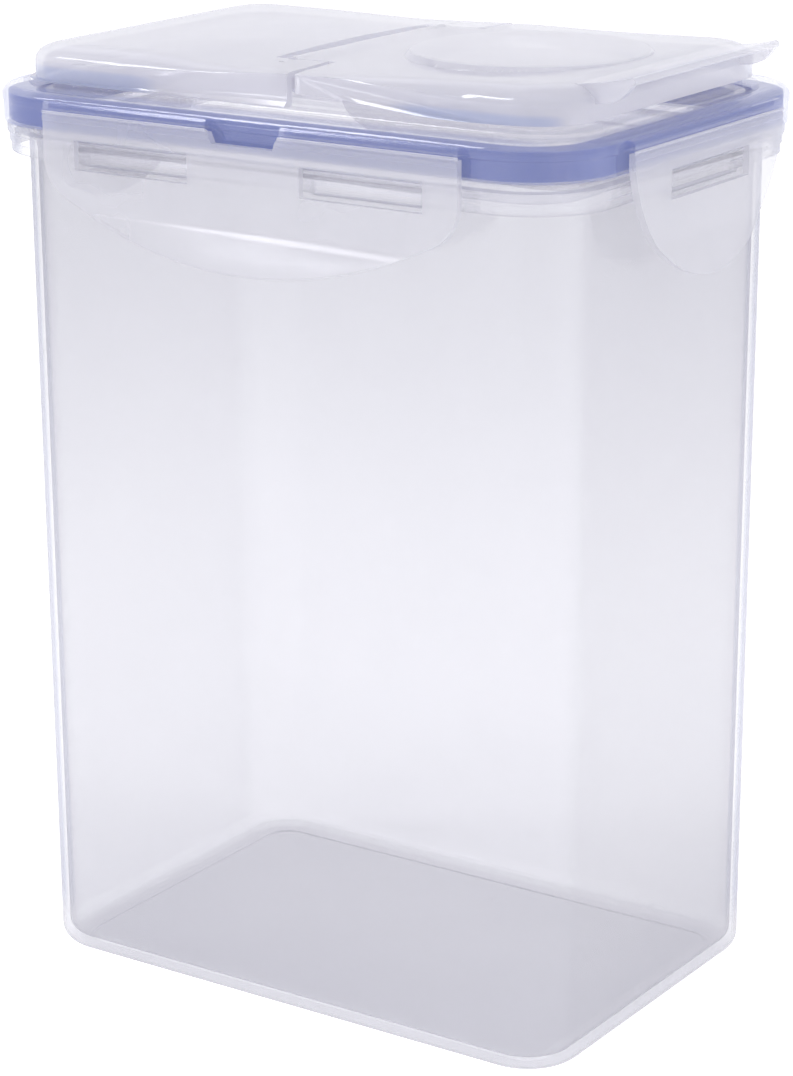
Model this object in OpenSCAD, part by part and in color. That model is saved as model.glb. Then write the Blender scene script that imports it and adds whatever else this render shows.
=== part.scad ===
// Dry-food container with a flip spout: a tall drafted box, a sealed lid with
// four hinged latches, and a flip cap over a round pour opening.
// +X is the pour end, +Z is up, and the origin is the centre of the base.

/* [Container] */
// Length of the base, along the pour direction
base_l = 134; // [100:1:180]
// Width of the base
base_w = 90.5; // [75:0.5:130]
// Corner radius of the base in plan
base_r = 12.8; // [10:0.2:18]
// Height of the rim that the seal sits on
rim_h = 186; // [90:1:260]
// How far each wall leans out between the base and the rim
draft = 1; // [0.4:0.1:2]
// Thickness of the walls
wall = 1.7; // [1.2:0.1:2.2]
// Thickness of the floor
floor_t = 2.2; // [1.6:0.1:3]
// Inside radius between the floor and the walls
floor_r = 2.5; // [1:0.1:4]
// Outside radius between the base and the walls
base_edge_r = 3.5; // [2:0.1:4]
// Depth of the recess inside the foot ring
foot_h = 1; // [0.5:0.1:1.2]
// Width of the flat ring that the container stands on
foot_w = 3.2; // [2:0.1:4]

/* [Rim collar] */
// How far the collar stands out from the top of the wall
collar_out = 4.5; // [4:0.1:6]
// Height of the collar
collar_h = 6.2; // [5:0.1:8]
// Thickness of the collar's hanging skirt
collar_t = 1.5; // [1.2:0.1:1.8]
// Thickness of the collar's top
collar_top_t = 2; // [1.5:0.1:2.4]
// How far each of the collar's two steps goes in
collar_step = 0.4; // [0.2:0.05:0.5]

/* [Lid] */
// How far the lid's rim stands out from the collar
lid_out = 0.9; // [0.8:0.1:2]
// Height of the lid's flat top above the container's rim
lid_h = 7.8; // [6.8:0.1:9.4]
// Thickness of the lid's flat top
flange_t = 1.5; // [1.2:0.1:2]
// Thickness of the lid's outer rim wall
rim_t = 1.1; // [1:0.1:1.4]
// Width of the rounding round the lid's top edge
rim_round_w = 2.6; // [2:0.1:3]
// Height of that rounding
rim_round_h = 2.2; // [1.6:0.1:2.4]
// Height of the step line under the lid's top edge
rim_line_h = 3.4; // [3.2:0.1:4]
// Gap between the lid's rim and the container's collar
rim_gap = 0.3; // [0.2:0.05:0.6]
// How deep the lid's inner wall reaches into the container
plug_depth = 5; // [3:0.5:10]
// Gap between the lid's inner wall and the container
plug_gap = 0.6; // [0.4:0.05:1]
// Thickness of the lid's inner wall
plug_t = 1.5; // [1.2:0.1:2]
// How far the lid lifts in one pull
seal_gap = 0.3; // [0.2:0.05:0.5]
// Play between a seal and the walls on either side of it
seal_play = 0.05; // [0.03:0.01:0.08]
// How far the deck under the raised top stands out from it
deck_w = 1.5; // [1:0.1:3]
// Height of the deck above the lid's flat top
deck_h = 0.7; // [0.4:0.1:1]

/* [Raised top] */
// Distance from the lid's rear edge to the raised top
top_rear = 5.4; // [5:0.1:12]
// Distance from the lid's front edge to the raised top
top_front = 6.9; // [6:0.1:14]
// Distance from the lid's long edges to the raised top
top_side = 9.65; // [9:0.05:16]
// Corner radius of the raised top in plan
top_r = 11.5; // [9:0.5:18]
// Thickness of the rear cover and the cap
shell_t = 1.6; // [1.2:0.1:2]
// Width of the rounding between the top and its walls
edge_w = 7; // [5:0.5:8]
// Height of the top's middle above the lid's flat top
mid_h = 8.4; // [8.2:0.1:9.4]
// Height of the top at the rear end
rear_h = 7.9; // [7:0.1:8.4]
// Height of the top's sides at the waist behind the hinge
waist_h = 7.4; // [7:0.1:8.4]
// Height of the top at the thumb tab
front_h = 9.4; // [8.8:0.1:10]
// Height of the walls at the rear end
wall_rear_h = 4.5; // [4:0.1:5.5]
// Height of the walls at the crest in front of the hinge
wall_crest_h = 7.4; // [6:0.1:7.4]
// Height of the walls at the thumb tab
wall_front_h = 5.3; // [4.6:0.1:6]
// Height of the plinth under the cover and the cap
plinth_h = 2.4; // [2:0.1:2.6]
// Gap between the plinth and the pieces around it
plinth_gap = 0.5; // [0.4:0.05:0.8]
// How far the foot of the rear cover flares out
foot_w_cover = 1.1; // [0.6:0.1:1.5]
// Height of that flare at the rear end
flare_rear_h = 0.9; // [0.8:0.1:2]
// Height of that flare at the joint with the cap
flare_joint_h = 3; // [1.5:0.1:3.4]

/* [Flip cap] */
// Place of the hinge axis along the lid
hinge_x = -6; // [-14:0.5:4]
// Distance from the hinge axis to the joint between cover and cap
joint_x = 8.8; // [8.5:0.1:12]
// Gap between the rear cover and the cap
joint_gap = 1.9; // [0.6:0.1:2.2]
// Radius of the hinge barrel
barrel_r = 2.8; // [2.4:0.1:2.8]
// Gap between the hinge barrel and the plinth under it
barrel_gap = 0.2; // [0.15:0.01:0.2]
// Length of the hinge barrel
barrel_l = 55.2; // [40:0.2:58]
// Radius of the hinge pins
pin_r = 1.5; // [1.2:0.1:1.8]
// Length of each hinge pin
pin_l = 3.2; // [2:0.1:5]
// Gap round a hinge pin
pin_gap = 0.08; // [0.05:0.01:0.1]
// Gap between the barrel and the notch that holds it
notch_gap = 1.3; // [1.3:0.05:1.6]
// Height of the cap's lower edge at the joint
skirt_joint_h = 3.6; // [3.2:0.1:4]
// Height of the cap's lower edge where it is lowest
skirt_low_h = 1.6; // [1.2:0.1:2.4]
// How far that edge rises again towards the thumb tab
skirt_rise = 0.4; // [0:0.1:0.8]
// Radius of the raised disc over the pour opening
disc_r = 26.2; // [20:0.2:28]
// Width of the disc's sloped edge
disc_bevel = 1.5; // [1:0.1:3]
// Height of the disc's top above the lid's flat top
disc_h = 9.6; // [9.4:0.1:10]
// Width of the thumb tab
tab_w = 60; // [30:1:60]
// How far the thumb tab stands out
tab_out = 8.2; // [5:0.1:9]
// How far the thumb tab's edge sweeps in at each side
tab_sweep = 2; // [1:0.5:6]
// Thickness of the thumb tab
tab_t = 1.6; // [1.2:0.1:2]
// How far the thumb tab's tip rises
tab_rise = 1.9; // [0:0.1:2.5]
// Thickness of the cheek at each end of the thumb tab
cheek_t = 1.2; // [1:0.1:2]
// Thickness of the stiffening ribs inside the raised top's long walls
rib_t = 1; // [0.8:0.1:1.5]
// How far those ribs stand in from the walls
rib_in = 1.2; // [0.8:0.1:2]

/* [Pour opening] */
// Place of the pour opening's centre along the lid
spout_x = 33.5; // [30:0.5:36]
// Inside radius of the pour opening
spout_r = 23.6; // [18:0.1:24]
// Thickness of the pour opening's collar
spout_t = 1.6; // [1.2:0.1:2]
// Height of the collar above the plinth
spout_h = 2.2; // [1:0.1:2.4]
// How far the cap's plug reaches below the top of the plinth
plug_reach = 3.2; // [2:0.1:4]
// Gap between the plug and the pour opening
cap_plug_gap = 2.2; // [1.8:0.1:3]
// Thickness of the plug's wall
cap_plug_t = 1.6; // [1.4:0.1:2.2]
// Height of the plug's seal
cap_seal_h = 2.4; // [1.6:0.1:3]
// Depth of the groove that holds the plug's seal
cap_groove = 0.8; // [0.5:0.1:1]
// Gap between the plug's seal and the pour opening
cap_seal_gap = 0.6; // [0.5:0.05:0.8]

/* [Latches] */
// How far the latches' outer faces stand out from the lid's rim
latch_out = 2.1; // [2:0.1:3]
// Thickness of a latch
latch_t = 1.5; // [1.2:0.1:1.6]
// Height of a latch
latch_h = 28.3; // [24:0.1:34]
// Width of the latches on the long sides
long_w = 101; // [60:1:104]
// Width of the latches on the short sides
short_w = 60; // [40:1:62]
// Radius of the long latches' lower edge
long_edge_r = 99; // [70:1:120]
// Radius of the short latches' lower edge
short_edge_r = 30.5; // [30.5:0.5:60]
// Height of the finger lip below the crease
lip_drop = 8.6; // [5:0.1:10]
// Angle at which the finger lip flares out
lip_angle = 10; // [5:1:20]
// Height of a latch's window
window_h = 6.1; // [5.8:0.1:6.6]
// Distance from the hinge line to the window
window_drop = 5.3; // [4.8:0.1:5.6]
// Width of each of a long latch's two windows
long_window_w = 28.8; // [16:0.1:30]
// Distance from the middle to each of those windows
long_window_x = 28.1; // [24:0.1:32]
// Width of a short latch's window
short_window_w = 31.6; // [16:0.1:36]
// Width of the notch in the long latches' hinge line
notch_w = 18; // [8:0.5:24]
// Depth of that notch
notch_h = 2.6; // [1.5:0.1:3.5]
// Radius of the bead that stands for the living hinge
web_r = 0.3; // [0.2:0.05:0.35]

/* [Locking tabs] */
// How far the tabs' ends stay inside a window's ends
tab_side_gap = 1.5; // [1:0.1:3]
// Height of a locking tab
lock_h = 3.6; // [3:0.1:4]
// Gap between a tab and the latch that swings past it
lock_gap = 0.3; // [0.25:0.05:0.4]

/* [Hidden] */

eps = 0.01;
arc_fn = 96;

// Every rounded-rectangle wall is swept round the same four corner centres,
// so a radius measured from them gives the place of each face.
cx = base_l / 2 - base_r;
cy = base_w / 2 - base_r;
rim_r = base_r + draft;
collar_r = rim_r + collar_out;
lid_r = collar_r + lid_out;
latch_r = lid_r + latch_out;

lid_z = rim_h + lid_h;
rim_line_z = lid_z - rim_line_h;
hinge_z = rim_line_z + 0.25;
deck_z = lid_z + deck_h;
plinth_z = lid_z + plinth_h;
axis_z = lid_z + mid_h - 0.15 - barrel_r;
disc_z = lid_z + disc_h;
collar_z = rim_h - collar_h;

top_x0 = -(cx + lid_r - top_rear);
top_x1 = cx + lid_r - top_front;
top_y = cy + lid_r - top_side;
top_l = top_x1 - top_x0;
top_cx = (top_x0 + top_x1) / 2;
split_x = hinge_x + joint_x;
notch_y = barrel_l / 2 + 0.3;

function ease(t) = (1 - cos(180 * max(0, min(1, t)))) / 2;
function arc(x, y, r, a0, a1, n) =
    [for (i = [0:n]) [x + r * cos(a0 + (a1 - a0) * i / n), y + r * sin(a0 + (a1 - a0) * i / n)]];

// Sweeps a profile round a rounded rectangle. The profile's x runs outwards
// from the corner centres and its y runs up.
module round_sweep(hx = cx, hy = cy) {
    for (side = [[0, hx, hy], [90, hy, hx], [180, hx, hy], [270, hy, hx]])
        rotate([0, 0, side[0]])
            translate([side[1], side[2], 0]) {
                rotate_extrude(angle = 90, $fn = arc_fn) children();
                rotate([90, 0, 0]) linear_extrude(2 * side[2]) children();
            }
}

module middle_slab(z0, z1, hx = cx, hy = cy) {
    translate([-hx, -hy, z0]) cube([2 * hx, 2 * hy, z1 - z0]);
}

module round_rect(l, w, r) {
    square([l - 2 * r, w], center = true);
    square([l, w - 2 * r], center = true);
    for (sx = [-1, 1], sy = [-1, 1])
        translate([sx * (l / 2 - r), sy * (w / 2 - r)]) circle(r, $fn = arc_fn);
}

// ---- Container ----

module container_profile() {
    foot_x = base_r - base_edge_r;
    inner_base = base_r + draft * floor_t / rim_h - wall;
    inner_rim = rim_r - wall;
    polygon(concat(
        [[0, foot_h], [foot_x - foot_w - foot_h, foot_h], [foot_x - foot_w, 0]],
        arc(foot_x, base_edge_r, base_edge_r, -90, 0, 6),
        [[rim_r - draft * collar_top_t / rim_h, rim_h - collar_top_t],
         [collar_r - collar_t, rim_h - collar_top_t],
         [collar_r - collar_t, collar_z],
         [collar_r - 2 * collar_step, collar_z],
         [collar_r - 2 * collar_step, collar_z + collar_h * 0.3],
         [collar_r - collar_step, collar_z + collar_h * 0.36],
         [collar_r - collar_step, collar_z + collar_h * 0.62],
         [collar_r, collar_z + collar_h * 0.68]],
        arc(collar_r - 0.8, rim_h - 0.8, 0.8, 0, 90, 3),
        [[inner_rim + 0.4, rim_h], [inner_rim, rim_h - 0.4]],
        arc(inner_base - floor_r, floor_t + floor_r, floor_r, 0, -90, 5),
        [[0, floor_t]]));
}

// A locking tab: a ramp on the collar that a latch's window hooks under.
module locking_tab(width) {
    tip_r = latch_r - latch_t - lock_gap;
    root_r = collar_r - collar_step;
    translate([0, width / 2, 0])
        rotate([90, 0, 0])
            linear_extrude(width)
                polygon([[root_r - collar_t, collar_z], [tip_r - 0.3, collar_z], [tip_r, collar_z + 0.3],
                         [tip_r, collar_z + lock_h * 0.55], [root_r, collar_z + lock_h],
                         [root_r - collar_t, collar_z + lock_h]]);
}

module container_body() {
    color([0.86, 0.86, 0.91, 0.45]) {
        round_sweep() container_profile();
        middle_slab(foot_h, floor_t);
        for (s = [0, 180]) rotate([0, 0, s]) {
            translate([cx, 0, 0]) locking_tab(short_window_w - 2 * tab_side_gap);
            for (m = [-1, 1])
                rotate([0, 0, 90])
                    translate([cy, m * long_window_x, 0])
                        locking_tab(long_window_w - 2 * tab_side_gap);
        }
    }
}

// ---- Lid and its seal ----

module lid_profile() {
    skirt_z = rim_h + rim_gap;
    plug_out = rim_r - wall - plug_gap;
    plug_z = rim_h - plug_depth;
    line = 0.3;
    polygon(concat(
        [[plug_out - plug_t, lid_z - flange_t], [plug_out - plug_t, plug_z],
         [plug_out - 0.5, plug_z], [plug_out, plug_z + 0.8],
         [plug_out, lid_z - flange_t], [lid_r - line - rim_t, lid_z - flange_t],
         [lid_r - line - rim_t, skirt_z], [lid_r - line, skirt_z],
         [lid_r - line, rim_line_z], [lid_r, rim_line_z + line]],
        [for (a = [0:15:90]) [lid_r - rim_round_w * (1 - cos(a)), lid_z - rim_round_h * (1 - sin(a))]],
        [[0, lid_z], [0, lid_z - flange_t]]));
}

// The ledge on the lid's rim that carries one latch's living hinge.
module hinge_ledge(width, r) {
    translate([0, width / 2, 0])
        rotate([90, 0, 0])
            linear_extrude(width)
                polygon([[lid_r - 1.2, hinge_z + web_r + 0.1], [r - 0.15, hinge_z + web_r + 0.1],
                         [r - 0.15, lid_z - 1.7], [r - 0.6, lid_z - 1.1], [lid_r - 1.2, lid_z - 1.1]]);
}

module plinth_outline(inset) {
    gap = shell_t + plinth_gap + inset;
    translate([top_cx, 0])
        round_rect(top_l - 2 * gap, 2 * (top_y - gap), top_r - gap);
}

// The deck that the raised top stands on, with a rounded edge.
module deck() {
    r = top_r + deck_w;
    hx = top_l / 2 + deck_w - r;
    hy = top_y + deck_w - r;
    translate([top_cx, 0, 0]) {
        round_sweep(hx, hy)
            polygon(concat([[0, lid_z - 0.4], [r, lid_z - 0.4]],
                           arc(r - 0.5, deck_z - 0.5, 0.5, 0, 90, 3), [[0, deck_z]]));
        middle_slab(lid_z - 0.4, deck_z, hx, hy);
    }
}

module lid() {
    color([0.84, 0.85, 0.92, 0.5]) {
        difference() {
            union() {
                round_sweep() lid_profile();
                middle_slab(lid_z - flange_t, lid_z);
                deck();
                translate([0, 0, lid_z - flange_t])
                    linear_extrude(plinth_h + flange_t) plinth_outline(0);
            }
            translate([0, 0, lid_z - flange_t - 1])
                linear_extrude(plinth_h + 1) plinth_outline(flange_t);
            translate([spout_x, 0, lid_z]) cylinder(h = plinth_h + 5, r = spout_r + spout_t / 2, $fn = arc_fn);
            // room for the cap's hinge barrel and the lugs beside it
            translate([hinge_x, 0, axis_z])
                rotate([90, 0, 0])
                    cylinder(h = 2 * (notch_y + pin_l + 0.6 + barrel_gap), r = barrel_r + barrel_gap,
                             center = true, $fn = arc_fn);
        }
        translate([spout_x, 0, 0])
            rotate_extrude($fn = arc_fn)
                polygon([[spout_r, plinth_z - plug_reach], [spout_r + spout_t, plinth_z - plug_reach],
                         [spout_r + spout_t, plinth_z + spout_h], [spout_r + 0.7, plinth_z + spout_h],
                         [spout_r, plinth_z + spout_h - 0.7]]);
        for (s = [0, 180]) rotate([0, 0, s]) {
            translate([cx, 0, 0]) hinge_ledge(short_w, latch_r);
            rotate([0, 0, 90])
                for (m = [-1, 1])
                    translate([cy, m * (long_w + notch_w) / 4, 0])
                        hinge_ledge((long_w - notch_w) / 2, latch_r);
        }
    }
}

// The seal fills the lid's channel and meets the container's rim from above.
module lid_seal() {
    inner = rim_r - wall - plug_gap + seal_play;
    outer = lid_r - 0.3 - rim_t - seal_play;
    top = lid_z - flange_t - seal_play;
    foot = rim_h + seal_gap;
    bead = 0.8;
    color([0.16, 0.24, 0.62])
        round_sweep()
            polygon(concat(
                [[inner, top], [inner, foot + 1.4], [inner + 1.2, foot + 1.4]],
                arc(inner + 1.2 + bead, foot + bead, bead, 180, 360, 6),
                [[inner + 1.2 + 2 * bead, foot + 1.4], [outer - 2 * bead, foot + 1.4]],
                arc(outer - bead, foot + bead, bead, 180, 360, 6),
                [[outer, top]]));
}

// ---- Raised top: rear cover and flip cap ----

// Share of the way from 0 to 1 that a wave has gone, for a place x along the
// top, when it starts and ends at the shares a and b of the top's length.
function wave(x, a, b) = ease(((x - top_x0) / top_l - a) / (b - a));
function part(x, a, b) = max(0, min(1, ((x - top_x0) / top_l - a) / (b - a)));

// Height of the top along its middle and along its sides, and where its walls
// and their flared foot end.
function mid_z(x) = lid_z + mid_h - (mid_h - rear_h) * (1 - wave(x, 0.12, 0.32)) + (front_h - mid_h) * wave(x, 0.8, 1);
function side_z(x) = lid_z + rear_h - (rear_h - waist_h) * wave(x, 0.19, 0.38)
    + (front_h - waist_h) * pow(part(x, 0.38, 1), 1.2);
function wall_z(x) = lid_z + wall_rear_h + (wall_crest_h - wall_rear_h) * wave(x, 0.17, 0.59)
    - (wall_crest_h - wall_front_h) * wave(x, 0.59, 0.86);
function flare_z(x) = lid_z + flare_rear_h + (flare_joint_h - flare_rear_h) * wave(x, 0.15, 0.51);
function skirt_z(x) = lid_z + skirt_joint_h - (skirt_joint_h - skirt_low_h) * wave(x, 0.57, 0.81)
    + skirt_rise * wave(x, 0.81, 0.97);
function top_z(x, y) = mid_z(x) + (side_z(x) - mid_z(x)) * pow(min(1, abs(y) / (top_y - edge_w)), 2);

// Outline of the raised top, set in by a distance: corner arcs joined by
// sides that are divided so that the waves along them stay smooth.
corner_n = 6;
side_n = [20, 8];
function outline(inset) = [for (k = [0:3])
    let (r = max(0.6, top_r - inset), sx = (k == 0 || k == 3) ? 1 : -1, sy = k < 2 ? 1 : -1,
         px = top_cx + sx * (top_l / 2 - inset - r), py = sy * (top_y - inset - r),
         run = k % 2 == 0 ? 2 * (top_l / 2 - inset - r) : 2 * (top_y - inset - r), n = side_n[k % 2],
         dx = k == 0 ? -1 : k == 2 ? 1 : 0, dy = k == 1 ? -1 : k == 3 ? 1 : 0, a = 90 * (k + 1),
         end = [px + r * cos(a), py + r * sin(a)])
    each concat([for (i = [0:corner_n]) [px + r * cos(90 * k + 90 * i / corner_n),
                                         py + r * sin(90 * k + 90 * i / corner_n)]],
                [for (i = [1:n - 1]) end + [dx, dy] * run * i / n])];

// Rings of the shell: a level ring of the top, one of its rounding (a runs
// from 0 at the top to 90 at the wall), and one whose height is given.
function top_ring(share, drop) = [for (p = outline(edge_w))
    let (x = top_cx + share * (p[0] - top_cx), y = share * p[1]) [x, y, top_z(x, y) - drop]];
function round_ring(a, inset, width, wall_drop, top_drop) = [for (p = outline(inset + width * (1 - sin(a))))
    let (foot = wall_z(p[0]) - wall_drop)
    [p[0], p[1], foot + (top_z(p[0], p[1]) - top_drop - foot) * cos(a)]];
function wall_ring(inset, height) = [for (p = outline(inset)) [p[0], p[1], height(p[0])]];

// A dished shell over the outline, lofted ring by ring: the top, its rounding,
// the walls down through the given foot rings, and back up inside.
module dished_shell(foot) {
    shares = [0.15, 0.36, 0.56, 0.74, 0.88];
    rings = concat(
        [for (s = shares) top_ring(s, 0)],
        [for (a = [0:15:90]) round_ring(a, 0, edge_w, 0, 0)],
        foot,
        [for (a = [90, 60, 30, 0]) round_ring(a, shell_t, edge_w - shell_t, 0.9, shell_t)],
        [for (i = [len(shares) - 1:-2:0]) top_ring(shares[i], shell_t)]);
    n = len(rings[0]);
    last = len(rings) - 1;
    centres = [[top_cx, 0, mid_z(top_cx)], [top_cx, 0, mid_z(top_cx) - shell_t]];
    points = concat([for (r = rings) each r], centres);
    sides = [for (k = [0:last - 1], i = [0:n - 1], h = [0, 1])
        let (a = k * n + i, b = k * n + (i + 1) % n)
        h == 0 ? [a, b, b + n] : [a, b + n, a + n]];
    caps = [for (i = [0:n - 1], h = [0, 1])
        h == 0 ? [n * (last + 1), (i + 1) % n, i] : [n * (last + 1) + 1, last * n + i, last * n + (i + 1) % n]];
    polyhedron(points, concat(sides, caps));
}

module slice_box(x0, x1, y) {
    translate([x0, -y, lid_z - 1]) cube([x1 - x0, 2 * y, 20]);
}

module rear_cover() {
    lug_t = pin_l + 0.6;
    flare = foot_w_cover;
    color([0.88, 0.89, 0.94, 0.6])
        difference() {
            union() {
                intersection() {
                    dished_shell([
                        wall_ring(0, function (x) flare_z(x)),
                        wall_ring(-0.25 * flare, function (x) deck_z + (flare_z(x) - deck_z) * 0.5),
                        wall_ring(-flare, function (x) deck_z + 0.3 * min(1, flare_z(x) - deck_z)),
                        wall_ring(-flare, function (x) deck_z),
                        wall_ring(shell_t, function (x) deck_z)]);
                    slice_box(top_x0 - 3, split_x, top_y + 3);
                }
                wall_ribs((top_x0 + split_x) / 2 - 6);
                // two lugs that carry the cap's hinge pins
                for (m = [-1, 1])
                    translate([hinge_x, m * (notch_y + lug_t / 2), 0])
                        rotate([90, 0, 0])
                            linear_extrude(lug_t, center = true) {
                                translate([0, axis_z]) circle(barrel_r - 0.4, $fn = arc_fn);
                                translate([0.4 - barrel_r, plinth_z])
                                    square([2 * barrel_r - 0.8, axis_z - plinth_z]);
                                translate([-1, axis_z]) square([2, barrel_r - shell_t / 2]);
                            }
            }
            translate([hinge_x - barrel_r - notch_gap, -notch_y, axis_z - barrel_r - 1])
                cube([joint_x + barrel_r + notch_gap + 1, 2 * notch_y, 2 * barrel_r + 3]);
            for (m = [-1, 1])
                translate([hinge_x, m * (notch_y - 1), axis_z])
                    rotate([-90 * m, 0, 0])
                        cylinder(h = pin_l + 1.2, r = pin_r + pin_gap, $fn = arc_fn);
        }
}

// Plan of the thumb tab: a straight edge with an S-curve at each end.
module tab_plan() {
    root = top_x1 - 7;
    sweep = [for (i = [0:12])
        [top_x1 - 6 + (tab_out + 6) * (1 - ease(i / 12)), tab_w / 2 - tab_sweep / 2 + tab_sweep * i / 12]];
    polygon(concat([[root, tab_w / 2 + tab_sweep / 2]], [for (i = [12:-1:0]) sweep[i]],
                   [for (p = sweep) [p[0], -p[1]]], [[root, -tab_w / 2 - tab_sweep / 2]]));
}

// The tab leaves the cap's top level with it and rises towards its rounded tip.
// A cheek with an S-shaped lower edge joins each of its ends to the wall.
module thumb_tab() {
    reach = 7.5;
    top = lid_z + front_h - 0.5;
    low = lid_z + wall_front_h + 0.1;
    half = tab_t / 2;
    line = [for (i = [0:8]) [top_x1 - reach + (tab_out + reach - half) * i / 8, top + tab_rise * pow(i / 8, 2)]];
    under = line[8][1] - tab_t;
    intersection() {
        union() {
            translate([0, tab_w / 2 + tab_sweep, 0])
                rotate([90, 0, 0])
                    linear_extrude(tab_w + 2 * tab_sweep)
                        polygon(concat([for (p = line) p - [0, tab_t]],
                                       arc(line[8][0], line[8][1] - half, half, -60, 60, 4),
                                       [for (i = [8:-1:0]) line[i]]));
            for (m = [-1, 1])
                translate([0, m * (tab_w / 2 + (tab_sweep - cheek_t) / 2), 0])
                    rotate([90, 0, 0])
                        linear_extrude(2 * tab_sweep + cheek_t, center = true)
                            polygon(concat(
                                [for (i = [0:8]) [top_x1 - 0.7 + (tab_out + 0.2) * i / 8,
                                                  low + (under + 0.3 - low) * pow(i / 8, 3.2)]],
                                [for (i = [8:-1:2]) line[i] - [0.3, half]],
                                [[top_x1 - 2.3, low + 2.1], [top_x1 - 1.2, low + 1]]));
        }
        translate([0, 0, low - 1]) linear_extrude(10) tab_plan();
    }
}

// A pair of ribs inside the long walls, above the lid's plinth.
module wall_ribs(x) {
    foot = plinth_z + plinth_gap + 0.1;
    depth = shell_t / 2 + rib_in;
    for (m = [-1, 1])
        translate([x - rib_t / 2, m * (top_y - shell_t / 2 - depth / 2) - depth / 2, foot])
            cube([rib_t, depth, wall_z(x) + 0.4 - foot]);
}

module flip_cap() {
    seat_z = plinth_z - plug_reach;
    plug_r = spout_r - cap_plug_gap;
    groove_z = seat_z + 1.2;
    color([0.88, 0.89, 0.94, 0.6]) {
        intersection() {
            dished_shell([for (inset = [0, shell_t]) wall_ring(inset, function (x) skirt_z(x))]);
            union() {
                slice_box(split_x + joint_gap, top_x1 + 1, top_y + 1);
                slice_box(hinge_x, split_x + joint_gap + eps, barrel_l / 2);
            }
        }
        thumb_tab();
        wall_ribs(spout_x);
        // raised disc
        translate([spout_x, 0, disc_z - 2.4])
            rotate_extrude($fn = arc_fn)
                polygon([[0, 0.8], [plug_r - cap_plug_t, 0.8], [plug_r - cap_plug_t, 0], [disc_r, 0],
                         [disc_r, 0.6], [disc_r - disc_bevel, 2.2], [disc_r - disc_bevel - 0.6, 2.4], [0, 2.4]]);
        // plug with its seal groove
        translate([spout_x, 0, 0])
            rotate_extrude($fn = arc_fn)
                polygon([[plug_r - cap_plug_t, seat_z], [plug_r - 0.6, seat_z], [plug_r, seat_z + 0.6],
                         [plug_r, groove_z], [plug_r - cap_groove, groove_z],
                         [plug_r - cap_groove, groove_z + cap_seal_h], [plug_r, groove_z + cap_seal_h],
                         [plug_r, disc_z - 2], [plug_r - cap_plug_t, disc_z - 2]]);
        // hinge barrel and its two pins
        translate([hinge_x, 0, axis_z])
            rotate([90, 0, 0]) {
                cylinder(h = barrel_l, r = barrel_r, center = true, $fn = arc_fn);
                cylinder(h = barrel_l + 2 * pin_l, r = pin_r, center = true, $fn = arc_fn);
            }
    }
}

module cap_seal() {
    plug_r = spout_r - cap_plug_gap;
    groove_z = plinth_z - plug_reach + 1.2;
    reach = cap_plug_gap - cap_seal_gap;
    color([0.9, 0.92, 0.95])
        translate([spout_x, 0, 0])
            rotate_extrude($fn = arc_fn)
                polygon(concat([[plug_r - cap_groove + seal_play, groove_z + seal_play],
                                [plug_r + 0.1, groove_z + seal_play]],
                               arc(plug_r + reach - cap_seal_h / 4, groove_z + cap_seal_h / 4 + 0.2, cap_seal_h / 4, -60, 90, 5),
                               [[plug_r + 0.1, groove_z + cap_seal_h - seal_play],
                                [plug_r - cap_groove + seal_play, groove_z + cap_seal_h - seal_play]]));
}

// ---- Latches ----

// Lower outline of a latch: straight sides, round corners and a long arc.
function latch_outline(width, r, corner) =
    let (cz = -latch_h + r, half = width / 2,
         kx = half - corner, kz = cz - sqrt(pow(r - corner, 2) - kx * kx), a = atan2(kz - cz, kx))
    concat([[half, 1], [half, kz]], arc(kx, kz, corner, 0, a, 5),
           arc(0, cz, r, a, -180 - a, 24), arc(-kx, kz, corner, -180 - a, -180, 5), [[-half, 1]]);

// A latch hangs from its hinge axis at the origin, facing +X.
module latch(width, r, corner, windows, notched) {
    crease = -latch_h + lip_drop;
    flare = lip_drop * tan(lip_angle);
    difference() {
        intersection() {
            translate([0, width / 2, 0])
                rotate([90, 0, 0])
                    linear_extrude(width)
                        polygon([[-latch_t, -0.4], [-latch_t, crease],
                                 [flare - latch_t, -latch_h], [flare, -latch_h],
                                 [0, crease], [0, -1.9], [0.15, -1.7], [0.15, -0.9], [-0.1, -0.5], [-0.1, 0],
                                 [-0.25, 0.1], [-0.25, -0.4]]);
            translate([-5, 0, 0]) rotate([90, 0, 90]) linear_extrude(20) polygon(latch_outline(width, r, corner));
        }
        for (y = windows)
            translate([-5, y[0] - y[1] / 2, -window_drop - window_h]) cube([10, y[1], window_h]);
        if (notched)
            translate([-5, 0, 0])
                rotate([90, 0, 90])
                    linear_extrude(10)
                        polygon([[-notch_w / 2, 1], [-notch_w / 2 + 1.6, -notch_h], [notch_w / 2 - 1.6, -notch_h], [notch_w / 2, 1]]);
    }
    for (m = notched ? [-1, 1] : [0])
        translate([0, notched ? m * (width + notch_w) / 4 : 0, 0])
            rotate([90, 0, 0])
                cylinder(h = notched ? (width - notch_w) / 2 : width, r = web_r, center = true, $fn = 24);
}

module long_latch() {
    color([0.87, 0.87, 0.92, 0.6])
        rotate([0, 0, 90])
            translate([cy + latch_r, 0, hinge_z])
                latch(long_w, long_edge_r, 9, [[-long_window_x, long_window_w], [long_window_x, long_window_w]], true);
}

module short_latch() {
    color([0.87, 0.87, 0.92, 0.6])
        translate([cx + latch_r, 0, hinge_z])
            latch(short_w, short_edge_r, 4, [[0, short_window_w]], false);
}

module latch_front() { rotate([0, 0, 180]) long_latch(); }
module latch_back() { long_latch(); }
module latch_pour_end() { short_latch(); }
module latch_rear_end() { rotate([0, 0, 180]) short_latch(); }

container_body();
lid();
lid_seal();
rear_cover();
flip_cap();
cap_seal();
latch_front();
latch_back();
latch_pour_end();
latch_rear_end();
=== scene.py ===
import math

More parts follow.
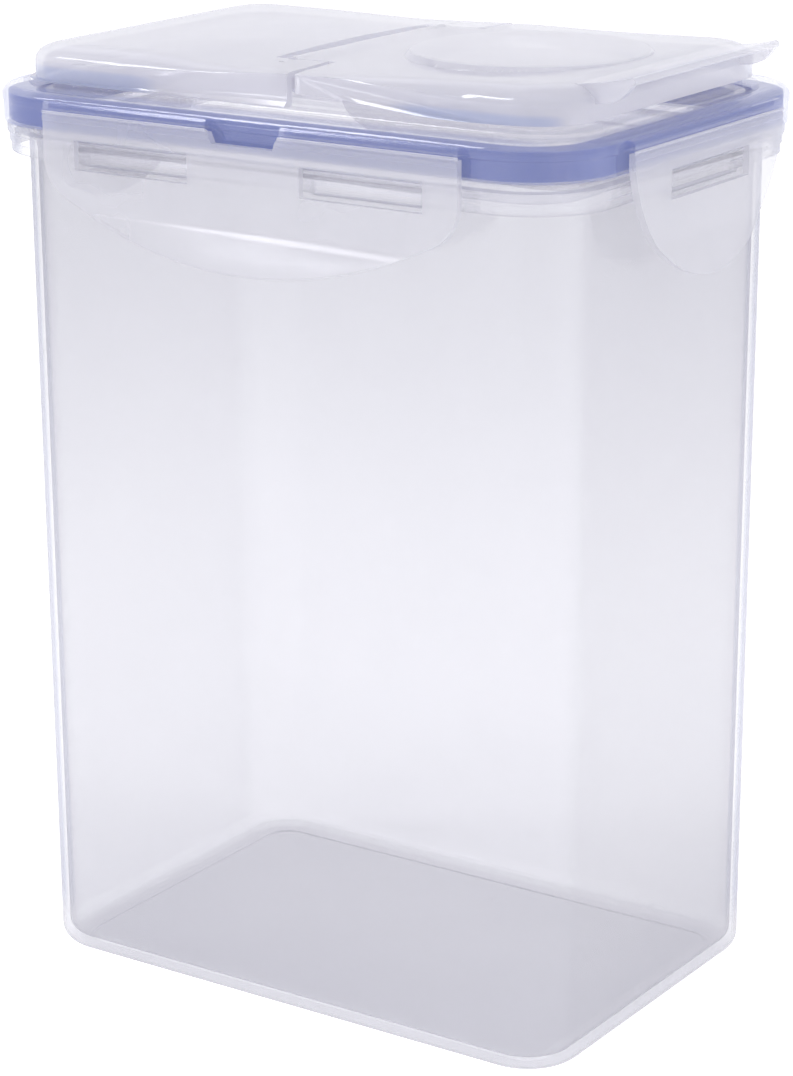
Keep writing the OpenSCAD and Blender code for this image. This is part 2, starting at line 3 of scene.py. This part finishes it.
import bpy
from mathutils import Matrix, Vector

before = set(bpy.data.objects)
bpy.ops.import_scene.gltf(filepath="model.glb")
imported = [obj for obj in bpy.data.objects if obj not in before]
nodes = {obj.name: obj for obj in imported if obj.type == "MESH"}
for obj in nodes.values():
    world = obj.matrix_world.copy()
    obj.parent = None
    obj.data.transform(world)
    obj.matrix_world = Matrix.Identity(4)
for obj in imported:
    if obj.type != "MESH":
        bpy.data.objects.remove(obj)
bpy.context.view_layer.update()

# ---- Camera and light tent ----
# The container stands in a white tent. A pale floor carries it, a large soft box
# hangs overhead, others stand round it, and a small lamp picks out the finger
# lip of the long latch. The camera looks down on the corner by the pour end.
CAMERA_PLACE = (0.3831, -0.5679, 0.3027)
CAMERA_AZIMUTH, CAMERA_ELEVATION, CAMERA_ROLL = 34.0, 16.93, -0.29
AIM = Vector((0, 0, 0.1))  # the middle of the container, where the lamps point
FLOOR_REACH = 6.0
FLOOR_GAP = 0.0003  # keeps the floor and the foot ring out of one plane


def look_from(position, azimuth, elevation, roll):
    """World matrix of a camera or lamp that faces back towards the object."""
    turn = Matrix.Rotation(math.radians(azimuth), 4, "Z")
    tilt = Matrix.Rotation(math.radians(90 - elevation), 4, "X")
    spin = Matrix.Rotation(math.radians(roll), 4, "Z")
    return Matrix.Translation(Vector(position)) @ turn @ tilt @ spin


scene = bpy.context.scene
camera = bpy.data.objects.new("camera", bpy.data.cameras.new("camera"))
camera.data.sensor_fit = "VERTICAL"
camera.data.sensor_height = 36.0
camera.data.lens = 110.13
camera.data.clip_start = 0.01
camera.matrix_world = look_from(CAMERA_PLACE, CAMERA_AZIMUTH, CAMERA_ELEVATION, CAMERA_ROLL)
scene.collection.objects.link(camera)
scene.camera = camera
scene.view_settings.view_transform = "Standard"
# a ray crosses many clear walls before it leaves the container
scene.cycles.transparent_max_bounces = 48
scene.cycles.max_bounces = 24
scene.cycles.transmission_bounces = 24


class Wire:
    """A node socket that can be used in Python expressions."""

    def __init__(self, tree, socket):
        self.tree = tree
        self.socket = socket

    @classmethod
    def node(cls, tree, kind, output=0, settings=None, **inputs):
        """Adds a node, sets its properties, then feeds its sockets with values or wires.

        An input is named as its socket, with _ for a space, or i0, i1, i2 by its place.
        """
        made = tree.nodes.new(kind)
        for name, value in (settings or {}).items():
            if name == "stops":
                ramp = made.color_ramp
                while len(ramp.elements) < len(value):
                    ramp.elements.new(0.5)
                for element, (place, colour) in zip(ramp.elements, value):
                    element.position = place
                    element.color = (*colour, 1)
            else:
                setattr(made, name, value)
        for name, value in inputs.items():
            key = int(name[1:]) if name[0] == "i" and name[1:].isdigit() else name.replace("_", " ")
            cls.feed(tree, made.inputs[key], value)
        return cls(tree, made.outputs[output])

    @staticmethod
    def feed(tree, socket, value):
        if isinstance(value, Wire):
            tree.links.new(value.socket, socket)
        else:
            socket.default_value = value

    def maths(self, operation, first, second=0.0):
        return Wire.node(self.tree, "ShaderNodeMath", settings={"operation": operation}, i0=first, i1=second)

    def __add__(self, other):
        return self.maths("ADD", self, other)

    __radd__ = __add__

    def __sub__(self, other):
        return self.maths("SUBTRACT", self, other)

    def __rsub__(self, other):
        return self.maths("SUBTRACT", other, self)

    def __mul__(self, other):
        return self.maths("MULTIPLY", self, other)

    __rmul__ = __mul__

    def __pow__(self, other):
        return self.maths("POWER", self, other)

    def __abs__(self):
        return self.maths("ABSOLUTE", self)

    def at_least(self, other):
        return self.maths("MAXIMUM", self, other)

    def at_most(self, other):
        return self.maths("MINIMUM", self, other)

    def span(self, low, high, to_low=0.0, to_high=1.0):
        """Maps a range of values to another, with soft ends."""
        return Wire.node(
            self.tree, "ShaderNodeMapRange", settings={"interpolation_type": "SMOOTHSTEP"},
            Value=self, From_Min=low, From_Max=high, To_Min=to_low, To_Max=to_high,
        )


def new_material(name):
    material = bpy.data.materials.new(name)
    material.use_nodes = True
    material.node_tree.nodes.clear()
    return material, material.node_tree


def close_tree(tree, shader, kind="ShaderNodeOutputMaterial"):
    """Ends a node tree in its output node."""
    Wire.feed(tree, tree.nodes.new(kind).inputs["Surface"], shader)


def seen_directly(tree):
    """1 for rays that reach the eye straight, by a mirror or through plastic."""
    rays = [Wire.node(tree, "ShaderNodeLightPath", output=kind)
            for kind in ("Is Camera Ray", "Is Glossy Ray", "Is Transmission Ray")]
    return (rays[0] + rays[1] + rays[2]).at_most(1.0)


# The tent's walls look brighter than they light the object.
world = bpy.data.worlds.new("tent")
scene.world = world
world.use_nodes = True
sky = world.node_tree
sky.nodes.clear()
lit = Wire.node(sky, "ShaderNodeBackground", Color=(0.98, 0.98, 1.0, 1), Strength=0.66)
shown = Wire.node(sky, "ShaderNodeBackground", Color=(1, 1, 1, 1), Strength=1.2)
walls = Wire.node(sky, "ShaderNodeMixShader", i0=seen_directly(sky), i1=lit, i2=shown)
close_tree(sky, walls, "ShaderNodeOutputWorld")

# So does its floor, which keeps it as white as the walls.
corners = [(-FLOOR_REACH, -FLOOR_REACH, 0), (FLOOR_REACH, -FLOOR_REACH, 0),
           (FLOOR_REACH, FLOOR_REACH, 0), (-FLOOR_REACH, FLOOR_REACH, 0)]
floor_mesh = bpy.data.meshes.new("floor")
floor_mesh.from_pydata(corners, [], [(0, 1, 2, 3)])
floor = bpy.data.objects.new("floor", floor_mesh)
floor.location.z = -FLOOR_GAP
scene.collection.objects.link(floor)
floor_material, tree = new_material("floor_white")
paper = Wire.node(tree, "ShaderNodeBsdfDiffuse", Color=(0.92, 0.92, 0.93, 1))
unlit = Wire.node(tree, "ShaderNodeEmission", Strength=0.0)
glow = Wire.node(tree, "ShaderNodeEmission", Color=(1, 1, 1, 1), Strength=0.62)
lift = Wire.node(tree, "ShaderNodeMixShader", i0=seen_directly(tree), i1=unlit, i2=glow)
close_tree(tree, Wire.node(tree, "ShaderNodeAddShader", i0=paper, i1=lift))
floor_mesh.materials.append(floor_material)


def soft_box(name, azimuth, elevation, distance, size, watts, mirrored=True):
    """A rectangular lamp that faces the container. mirrored says if plastic reflects it."""
    lamp = bpy.data.lights.new(name, "AREA")
    lamp.shape = "RECTANGLE"
    lamp.size, lamp.size_y = size
    lamp.energy = watts
    az, el = math.radians(azimuth), math.radians(elevation)
    outwards = Vector((math.sin(az) * math.cos(el), -math.cos(az) * math.cos(el), math.sin(el)))
    holder = bpy.data.objects.new(name, lamp)
    holder.matrix_world = look_from(AIM + outwards * distance, azimuth, elevation, 0)
    holder.visible_glossy = mirrored
    scene.collection.objects.link(holder)


soft_box("overhead", 20, 75, 1.2, (0.9, 0.9), 1.0)
soft_box("key_left", -60, 52, 1.2, (0.24, 0.30), 2.6)
soft_box("front_fill", -5, 12, 1.3, (0.8, 0.8), 3.0, mirrored=False)
soft_box("lip_light", -33, 3, 1.2, (0.14, 0.10), 0.24)
soft_box("right_side", 105, 15, 1.2, (0.8, 1.2), 5.0, mirrored=False)
soft_box("behind", 215, 40, 1.3, (0.9, 0.5), 0.8)

# ---- Container ----
# A tapered box with rounded corners, a foot ring and a stepped collar, injection
# moulded in clear polypropylene with a faint lilac cast. It lets most light
# straight through, scatters the rest inside and has a polished skin.
PLASTIC_IOR = 1.45
FAR_SIDE_SHARE = 0.4  # how much of the scattered light leaves by the far side
SHEEN = 0.045  # mirror reflection face on
ALONG_WALL = (0.56, 0.70)  # from here on, light runs along a wall more than across it
BASE_TOP = (0.006, 0.012)  # heights over which the base goes over into the walls
SOFT_EDGE = 0.0003  # radius of the moulded edges
EDGE_ANGLE = 28  # edges sharper than this are rounded, in degrees
FACET_ANGLE = 0.3  # facets flatter than this are joined, in degrees
WELD_GAP = 0.000002


def axis(tree, name):
    """One of the object's own coordinates, in metres."""
    place = Wire.node(tree, "ShaderNodeTexCoord", output="Object")
    return Wire.node(tree, "ShaderNodeSeparateXYZ", output=name, Vector=place)


def blend(tree, share, colours):
    """Goes evenly through the colours while a value goes from 0 to 1."""
    stops = [(k / (len(colours) - 1), colour) for k, colour in enumerate(colours)]
    return Wire.node(tree, "ShaderNodeValToRGB", Fac=share, settings={"stops": stops})


def clear_plastic(name, tint, milk, haze, edge, gloss, tone=None, shades=None, extra=0.0, rim=0.6,
                  deep=None):
    """A clear plastic that scatters some light.

    tint colours the light that passes. milk is the colour of the scattered light, and
    haze and edge say how much of it there is face on and at grazing angles. A tone from
    0 to 1 takes that colour through the shades, and where it is 1 there is extra more of
    it. gloss is the skin's roughness and rim its added reflection at grazing angles.
    Where light runs along a wall instead of across it, it comes out in the deep colour.
    """
    material, tree = new_material(name)
    place = Wire.node(tree, "ShaderNodeTexCoord", output="Object")
    facing = Wire.node(tree, "ShaderNodeLayerWeight", output="Facing", Blend=0.5)
    cloud = Wire.node(tree, "ShaderNodeTexNoise", Vector=place, Scale=22.0, Detail=3.0)
    amount = haze + (edge - haze) * facing ** 2.6 + (cloud - 0.5) * (haze * 0.35)
    colour = (*milk, 1)
    if tone:
        share = tone(tree)
        colour = blend(tree, share, shades)
        amount = amount + share * extra
    solid = Wire.node(tree, "ShaderNodeBsdfPrincipled", Base_Color=colour, IOR=PLASTIC_IOR,
                      Roughness=gloss + (cloud - 0.5) * 0.08)
    passed = Wire.node(tree, "ShaderNodeBsdfTranslucent", Color=(*milk, 1))
    scattered = Wire.node(tree, "ShaderNodeMixShader", i0=FAR_SIDE_SHARE, i1=solid, i2=passed)
    through = Wire.node(tree, "ShaderNodeBsdfTransparent", Color=(*tint, 1))
    if deep:
        along = facing.span(*ALONG_WALL) * axis(tree, "Z").span(*BASE_TOP)
        long_way = Wire.node(tree, "ShaderNodeBsdfTransparent", Color=(*deep, 1))
        through = Wire.node(tree, "ShaderNodeMixShader", i0=along, i1=through, i2=long_way)
    inside = Wire.node(tree, "ShaderNodeMixShader", i0=amount, i1=through, i2=scattered)
    mirror = Wire.node(tree, "ShaderNodeBsdfGlossy", Color=(0.95, 0.95, 1, 1), Roughness=gloss)
    sheen = SHEEN + rim * facing ** 5
    close_tree(tree, Wire.node(tree, "ShaderNodeMixShader", i0=sheen, i1=inside, i2=mirror))
    return material


def painted_light_and_shade_by_height(tree):
    """Paints light and shade by height: painted shade darkens the walls and makes them milkier towards the
    lid, the base is darker and milkier, and painted light keeps the collar pale against the shade of the lid
    and latches.
    """
    z = axis(tree, "Z")
    walls = 0.46 + z.span(0.075, 0.172) * 0.54
    base = z.span(0.0, 0.05, 0.35, 0.0)
    below_collar = z.span(0.178, 0.181, 1.0, 0.0)
    return (walls + base) * below_collar


def give(piece, material):
    piece.data.materials.clear()
    piece.data.materials.append(material)


def shade_smooth(piece):
    """Welds the carried-over mesh, rounds its sharp edges and shades it smooth."""
    mesh = piece.data
    if "custom_normal" in mesh.attributes:
        mesh.attributes.remove(mesh.attributes["custom_normal"])
    mesh.polygons.foreach_set("use_smooth", [True] * len(mesh.polygons))
    weld = piece.modifiers.new("weld", "WELD")
    weld.merge_threshold = WELD_GAP
    flat = piece.modifiers.new("joined_facets", "DECIMATE")
    flat.decimate_type = "DISSOLVE"
    flat.angle_limit = math.radians(FACET_ANGLE)
    rounded = piece.modifiers.new("rounded_edges", "BEVEL")
    rounded.width = SOFT_EDGE
    rounded.segments = 2
    rounded.limit_method = "ANGLE"
    rounded.angle_limit = math.radians(EDGE_ANGLE)
    even = piece.modifiers.new("even_shading", "WEIGHTED_NORMAL")
    even.mode = "FACE_AREA"
    even.weight = 50


for piece in nodes.values():
    shade_smooth(piece)

# Its shades are the collar's painted light, the walls' own colour and the painted shade at the top of the
# walls.
body_plastic = clear_plastic(
    "clear_body_plastic", tint=(0.945, 0.945, 0.955), milk=(0.66, 0.65, 0.69), haze=0.10, edge=0.7,
    gloss=0.22, tone=painted_light_and_shade_by_height, shades=((0.98, 0.97, 0.99), (0.66, 0.65, 0.67), (0.40, 0.395, 0.44)),
    extra=0.08, rim=0.05, deep=(0.81, 0.825, 0.885))
give(nodes["container_body"], body_plastic)


# ---- Lid ----
# A flat plate with a rim, an inner wall, a channel for the seal and a collar
# round the pour opening, moulded in the clearest grade of the same plastic.
def painted_seal_blue_by_rim(tree):
    """Paints the seal's blue, as seen through the lid's flange, into the lid's colour outside the raised
    top, with a little more haze there.
    """
    end = abs(axis(tree, "X")).span(0.0675, 0.070)
    side = abs(axis(tree, "Y")).span(0.0445, 0.0475)
    return end.at_least(side)


# The second shade is the seal's blue seen through the flange, painted into the lid.
lid_plastic = clear_plastic(
    "clear_lid_plastic", tint=(0.985, 0.985, 0.99), milk=(0.76, 0.75, 0.82), haze=0.10, edge=0.4,
    gloss=0.12, tone=painted_seal_blue_by_rim, shades=((0.86, 0.85, 0.89), (0.39, 0.45, 0.74)), extra=0.12, rim=0.4)
give(nodes["lid"], lid_plastic)

# ---- Latches ----
# Four thin flaps with windows that hook under the container's tabs. They are
# moulded with the lid and hang from it by living hinges, slightly milky where
# the plastic has been drawn thin.
latch_plastic = clear_plastic(
    "clear_latch_plastic", tint=(0.98, 0.98, 0.985), milk=(0.83, 0.825, 0.865), haze=0.30, edge=0.6,
    gloss=0.12, rim=0.4)
for side in ("front", "back", "pour_end", "rear_end"):
    give(nodes["latch_" + side], latch_plastic)


# ---- Rear cover and flip cap ----
# The raised top in two mouldings of frosted polypropylene. The cover is fixed
# on the lid's plinth and the cap turns on pins in the cover's lugs.
def painted_wall_light_and_seal_blue(tree):
    """Paints light into the walls, which are paler than the top to lift their shade, and paints the seal's
    blue, as seen through the skirt, where the side skirts are lowest.
    """
    x = axis(tree, "X")
    z = axis(tree, "Z")
    top = z.span(0.1985, 0.2015) * 0.5
    low = z.span(0.1968, 0.1992, 1.0, 0.0)
    ends = x.span(-0.038, -0.020, 1.0, 0.0) * 0.9 + x.span(0.018, 0.034)
    side = abs(axis(tree, "Y")).span(0.034, 0.040)
    return top + low * ends * side


# Its shades are the walls' painted light, the top's own colour and the seal's blue painted into the skirts.
cap_plastic = clear_plastic(
    "frosted_cap_plastic", tint=(0.97, 0.97, 0.985), milk=(0.76, 0.755, 0.80), haze=0.40, edge=0.75,
    gloss=0.13, tone=painted_wall_light_and_seal_blue, shades=((0.92, 0.91, 0.94), (0.79, 0.785, 0.835), (0.38, 0.47, 0.74)),
    extra=0.1, rim=0.25)
give(nodes["rear_cover"], cap_plastic)
give(nodes["flip_cap"], cap_plastic)

# ---- Seals ----
# The lid's seal is a ring of blue silicone pressed into the lid's channel. The
# cap's is a translucent ring on its plug.
blue_silicone, tree = new_material("blue_silicone")
place = Wire.node(tree, "ShaderNodeTexCoord", output="Object")
speck = Wire.node(tree, "ShaderNodeTexNoise", Vector=place, Scale=900.0, Detail=2.0)
grain = Wire.node(tree, "ShaderNodeBump", Strength=0.1, Distance=0.0001, Height=speck)
close_tree(tree, Wire.node(tree, "ShaderNodeBsdfPrincipled", Base_Color=(0.04, 0.085, 0.40, 1),
                           Roughness=0.45 + speck * 0.1, Normal=grain))
give(nodes["lid_seal"], blue_silicone)
clear_silicone = clear_plastic(
    "clear_silicone", tint=(0.97, 0.98, 0.99), milk=(0.8, 0.83, 0.9), haze=0.4, edge=0.9, gloss=0.4)
give(nodes["cap_seal"], clear_silicone)
